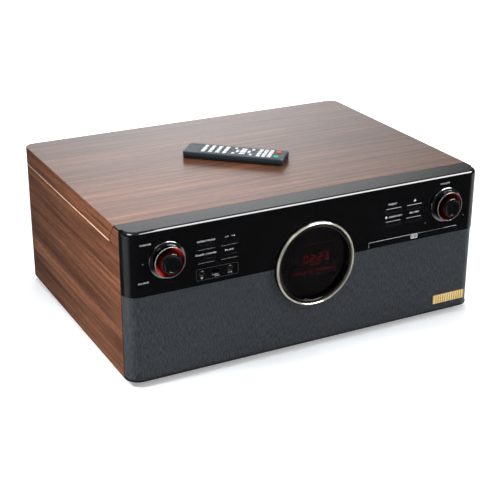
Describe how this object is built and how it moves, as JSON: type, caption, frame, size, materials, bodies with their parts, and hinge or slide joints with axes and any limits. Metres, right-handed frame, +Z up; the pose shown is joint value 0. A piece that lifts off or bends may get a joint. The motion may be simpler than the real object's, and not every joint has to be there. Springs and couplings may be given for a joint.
{
  "type": "mini hifi system",
  "caption": "Veneered all-in-one stereo with a hinged lid over a turntable, gloss fascia, round display, knobs, CD drawer, wrap-round grille and remote.",
  "frame": {"origin": "on the surface it stands on, under the middle of the object's box", "axes": "+Z up; +X to the listener's right as the front is faced; the front faces -Y"},
  "size_m": [0.5, 0.394, 0.2104],
  "materials": {
    "walnut": "satin walnut veneer, grain along the longest side",
    "fibreboard": "black-faced fibreboard",
    "gloss_black": "piano gloss black",
    "black_chrome": "dark mirror",
    "grille_weave": "woven dark grey cloth",
    "gold": "champagne gold, satin",
    "red_light": "translucent, lit from behind",
    "smoked_glass": "smoked window",
    "circuit_board": "solder mask",
    "rubber": "matt",
    "steel": "zinc plated",
    "aluminium": "satin",
    "satin_black": "fine satin",
    "white_plastic": "natural acetal",
    "paper_cone": "pressed paper",
    "remote_case": "fine satin slate",
    "remote_keys": "silicone keys"
  },
  "bodies": {
    "cabinet": {"left_side_panel": "walnut", "right_side_panel": "walnut", "base_panel": "walnut", "back_panel": "fibreboard", "speaker_baffle": "fibreboard", "front_fascia": "gloss_black", "grille_cloth": "grille_weave", "badge_plate": "gold", "rubber_feet": "rubber", "case_screws": "steel", "hinge_leaves_fixed": "steel", "hinge_pins": "steel", "deck_tray": "satin_black", "platter_motor": "steel", "drive_belt": "rubber", "tonearm_base": "satin_black", "knob_bezels": "black_chrome", "light_rings": "red_light", "control_board": "circuit_board", "front_sockets": "satin_black", "display_ring": "gold", "display_window": "smoked_glass", "display_module": "circuit_board", "speaker_drivers": "steel", "speaker_cones": "paper_cone", "cd_chassis": "satin_black", "main_board": "circuit_board", "power_transformer": "steel", "rear_terminals": "satin_black", "mains_inlet": "satin_black"},
    "lid": {"lid_panel": "walnut", "hinge_leaves_lid": "steel"},
    "platter": {"platter": "aluminium", "platter_mat": "rubber", "spindle": "steel"},
    "pulley": {"motor_pulley": "aluminium"},
    "yoke": {"tonearm_yoke": "satin_black"},
    "tonearm": {"tonearm_tube": "aluminium", "headshell": "satin_black", "counterweight": "aluminium"},
    "cue_lever": {"cue_lever": "satin_black"},
    "speed_switch": {"speed_switch": "satin_black"},
    "source_knob": {"source_knob": "gloss_black"},
    "volume_knob": {"volume_knob": "gloss_black"},
    "drawer": {"cd_tray": "satin_black", "drawer_front": "gloss_black"},
    "drive_gear": {"drive_gear": "white_plastic"},
    "disc_hub": {"disc_hub": "satin_black"},
    "pickup_sled": {"pickup_sled": "satin_black"},
    "remote": {"remote_lower_case": "remote_case", "remote_upper_case": "remote_case"},
    "keypad": {"remote_keypad": "remote_keys"},
    "repeat_button": {"repeat_button": "gloss_black"},
    "skip_button": {"skip_button": "gloss_black"},
    "folder_button": {"folder_button": "gloss_black"},
    "play_button": {"play_button": "gloss_black"},
    "preset_button": {"preset_button": "gloss_black"},
    "eject_button": {"eject_button": "gloss_black"},
    "menu_button": {"menu_button": "gloss_black"},
    "record_button": {"record_button": "gloss_black"}
  },
  "joints": [
    {"name": "lid_hinge", "type": "hinge", "parent": "cabinet", "child": "lid", "pos_m": [0, 0.192, 0.1759], "axis": [-1, 0, 0], "range_deg": [0, 68]},
    {"name": "platter_spin", "type": "hinge", "parent": "cabinet", "child": "platter", "pos_m": [-0.07, 0.025, 0.164], "axis": [0, 0, 1], "continuous": true},
    {"name": "pulley_spin", "type": "hinge", "parent": "cabinet", "child": "pulley", "pos_m": [-0.1301, 0.0851, 0.157], "axis": [0, 0, 1], "continuous": true},
    {"name": "tonearm_swing", "type": "hinge", "parent": "cabinet", "child": "yoke", "pos_m": [0.11, 0.09, 0.164], "axis": [0, 0, -1], "range_deg": [0, 52]},
    {"name": "tonearm_lift", "type": "hinge", "parent": "yoke", "child": "tonearm", "pos_m": [0.11, 0.09, 0.1755], "axis": [-1, 0, 0], "range_deg": [0, 3]},
    {"name": "cue_lever_tilt", "type": "hinge", "parent": "cabinet", "child": "cue_lever", "pos_m": [0.132, 0.05, 0.16], "axis": [-1, 0, 0], "range_deg": [0, 50]},
    {"name": "speed_switch_slide", "type": "slide", "parent": "cabinet", "child": "speed_switch", "axis": [0, 1, 0], "range_m": [0, 0.016]},
    {"name": "source_knob_turn", "type": "hinge", "parent": "cabinet", "child": "source_knob", "pos_m": [-0.199, -0.181, 0.161], "axis": [0, -1, 0], "continuous": true},
    {"name": "volume_knob_turn", "type": "hinge", "parent": "cabinet", "child": "volume_knob", "pos_m": [0.196, -0.181, 0.161], "axis": [0, -1, 0], "continuous": true},
    {"name": "drawer_slide", "type": "slide", "parent": "cabinet", "child": "drawer", "axis": [0, -1, 0], "range_m": [0, 0.135]},
    {"name": "drive_gear_turn", "type": "hinge", "parent": "cabinet", "child": "drive_gear", "pos_m": [0.0718, -0.152, 0.123], "axis": [0, 0, -1], "range_deg": [0, 870]},
    {"name": "disc_spin", "type": "hinge", "parent": "cabinet", "child": "disc_hub", "pos_m": [0.1475, -0.108, 0.121], "axis": [0, 0, 1], "continuous": true},
    {"name": "pickup_slide", "type": "slide", "parent": "cabinet", "child": "pickup_sled", "axis": [0, 1, 0], "range_m": [0, 0.032]},
    {"name": "remote_lift", "type": "slide", "parent": "lid", "child": "remote", "axis": [0, 0, 1], "range_m": [0, 0.12]},
    {"name": "keypad_press", "type": "slide", "parent": "remote", "child": "keypad", "axis": [0, 0, -1], "range_m": [0, 0.0006], "stiffness_N_per_m": 400},
    {"name": "repeat_press", "type": "slide", "parent": "cabinet", "child": "repeat_button", "axis": [0, 1, 0], "range_m": [0, 0.001], "stiffness_N_per_m": 300},
    {"name": "skip_press", "type": "slide", "parent": "cabinet", "child": "skip_button", "axis": [0, 1, 0], "range_m": [0, 0.001], "stiffness_N_per_m": 300},
    {"name": "folder_press", "type": "slide", "parent": "cabinet", "child": "folder_button", "axis": [0, 1, 0], "range_m": [0, 0.001], "stiffness_N_per_m": 300},
    {"name": "play_press", "type": "slide", "parent": "cabinet", "child": "play_button", "axis": [0, 1, 0], "range_m": [0, 0.001], "stiffness_N_per_m": 300},
    {"name": "preset_press", "type": "slide", "parent": "cabinet", "child": "preset_button", "axis": [0, 1, 0], "range_m": [0, 0.001], "stiffness_N_per_m": 300},
    {"name": "eject_press", "type": "slide", "parent": "cabinet", "child": "eject_button", "axis": [0, 1, 0], "range_m": [0, 0.001], "stiffness_N_per_m": 300},
    {"name": "menu_press", "type": "slide", "parent": "cabinet", "child": "menu_button", "axis": [0, 1, 0], "range_m": [0, 0.001], "stiffness_N_per_m": 300},
    {"name": "record_press", "type": "slide", "parent": "cabinet", "child": "record_button", "axis": [0, 1, 0], "range_m": [0, 0.001], "stiffness_N_per_m": 300}
  ],
  "couplings": [
    {"joint": "pulley_spin", "follows": "platter_spin", "ratio": 10},
    {"joint": "drive_gear_turn", "follows": "drawer_slide", "rad_per_m": 111.11}
  ]
}
